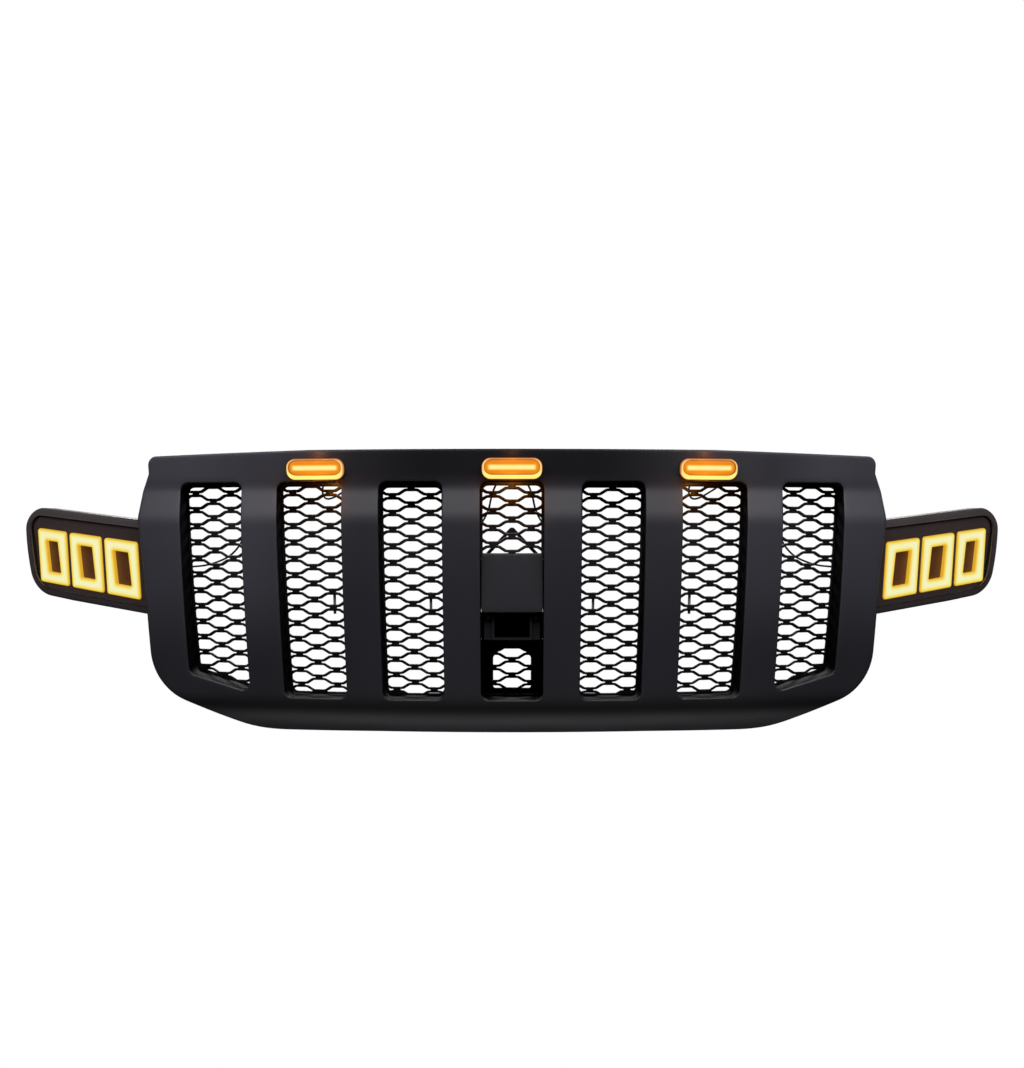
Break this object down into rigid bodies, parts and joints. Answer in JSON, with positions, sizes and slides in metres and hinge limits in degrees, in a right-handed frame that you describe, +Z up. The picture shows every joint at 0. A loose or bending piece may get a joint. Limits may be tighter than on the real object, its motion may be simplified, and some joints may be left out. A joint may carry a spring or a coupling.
{
  "type": "front grille",
  "caption": "Black vertical-slot vehicle front grille with mesh inserts, amber marker lamps along its top rail and a swept lamp wing with lit frames at each end.",
  "frame": {"origin": "midway between the two inner upper fixing holes, on the upper faces of their tabs", "axes": "+Z up, +X to the right as seen by a viewer in front, -Y forward towards that viewer"},
  "size_m": [1.574, 0.2843, 0.4269],
  "materials": {
    "bezel_plastic": "fine grained black moulding",
    "mesh_plastic": "black moulding, slightly smoother than the bezel",
    "badge_plastic": "dark grey, smooth and blank",
    "nylon": "natural nylon",
    "zinc_steel": "zinc plated",
    "amber_lens": "clear amber polycarbonate",
    "marker_light": "lit diffuser",
    "circuit_board": "solder mask",
    "housing_plastic": "moulded",
    "seal_rubber": "moulded",
    "smoked_lens": "polished smoked polycarbonate",
    "mask_plastic": "black mask behind the lens",
    "wing_light": "lit light guide",
    "cable_sleeve": "taped loom and lead insulation",
    "clip_plastic": "moulded"
  },
  "bodies": {
    "root": {"bezel": "bezel_plastic", "mesh_left_outer": "mesh_plastic", "mesh_left_middle": "mesh_plastic", "mesh_left_inner": "mesh_plastic", "mesh_centre_upper": "mesh_plastic", "mesh_centre_lower": "mesh_plastic", "mesh_right_inner": "mesh_plastic", "mesh_right_middle": "mesh_plastic", "mesh_right_outer": "mesh_plastic", "mesh_screws": "zinc_steel", "mesh_clips": "nylon", "badge_plate": "badge_plastic", "badge_carrier": "mesh_plastic", "badge_brace": "mesh_plastic", "brace_screws": "zinc_steel", "camera_bracket": "mesh_plastic", "camera_screws": "zinc_steel", "marker_lens_left": "amber_lens", "marker_bar_left": "marker_light", "marker_board_left": "circuit_board", "marker_housing_left": "housing_plastic", "marker_gasket_left": "seal_rubber", "marker_lens_centre": "amber_lens", "marker_bar_centre": "marker_light", "marker_board_centre": "circuit_board", "marker_housing_centre": "housing_plastic", "marker_gasket_centre": "seal_rubber", "marker_lens_right": "amber_lens", "marker_bar_right": "marker_light", "marker_board_right": "circuit_board", "marker_housing_right": "housing_plastic", "marker_gasket_right": "seal_rubber", "wing_lens_left": "smoked_lens", "wing_mask_left": "mask_plastic", "wing_ring_inner_left": "wing_light", "wing_ring_middle_left": "wing_light", "wing_ring_outer_left": "wing_light", "wing_board_left": "circuit_board", "wing_seal_left": "seal_rubber", "wing_housing_left": "housing_plastic", "wing_bracket_left": "zinc_steel", "wing_lens_right": "smoked_lens", "wing_mask_right": "mask_plastic", "wing_ring_inner_right": "wing_light", "wing_ring_middle_right": "wing_light", "wing_ring_outer_right": "wing_light", "wing_board_right": "circuit_board", "wing_seal_right": "seal_rubber", "wing_housing_right": "housing_plastic", "wing_bracket_right": "zinc_steel", "wing_screws": "zinc_steel", "loom": "cable_sleeve", "wing_leads": "cable_sleeve", "marker_leads": "cable_sleeve", "loom_clips": "clip_plastic", "supply_connector": "housing_plastic", "fixing_nuts": "zinc_steel"}
  },
  "joints": []
}
